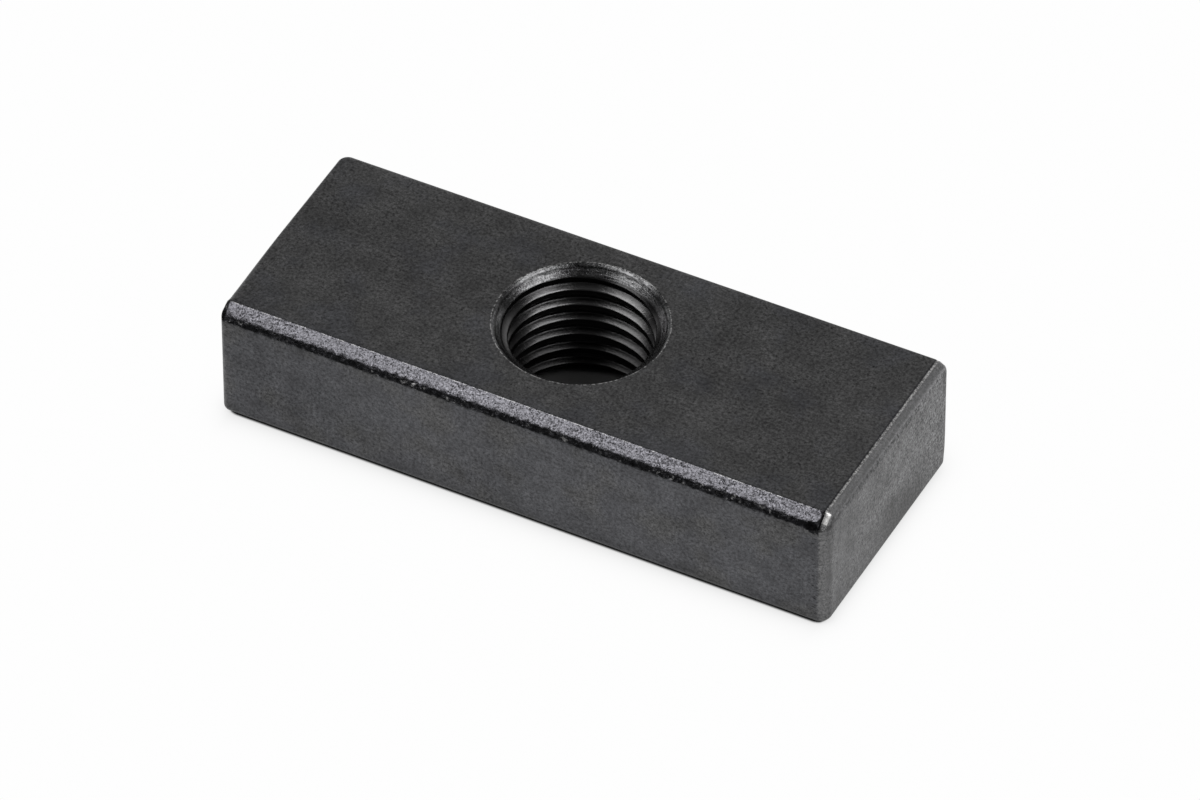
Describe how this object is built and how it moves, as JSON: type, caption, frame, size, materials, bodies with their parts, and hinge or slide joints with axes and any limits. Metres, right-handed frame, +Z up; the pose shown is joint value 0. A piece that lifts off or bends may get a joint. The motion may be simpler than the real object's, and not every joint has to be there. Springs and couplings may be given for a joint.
{
  "type": "t-slot nut",
  "caption": "Rectangular T-slot nut: a black-oxide steel bar with a countersunk, tapped through hole and a long chamfer along its front top edge.",
  "frame": {"origin": "middle of the face that the bar rests on, midway along the length and across the width", "axes": "+X along the bar towards the bevelled end, +Y across it away from the chamfered edge, +Z up along the screw hole"},
  "size_m": [0.068, 0.0264, 0.014],
  "materials": {
    "black_steel": "black oxide on sawn and tumbled steel, satin, slightly mottled, brighter on the chamfer"
  },
  "bodies": {
    "root": {"nut_body": "black_steel"}
  },
  "joints": []
}
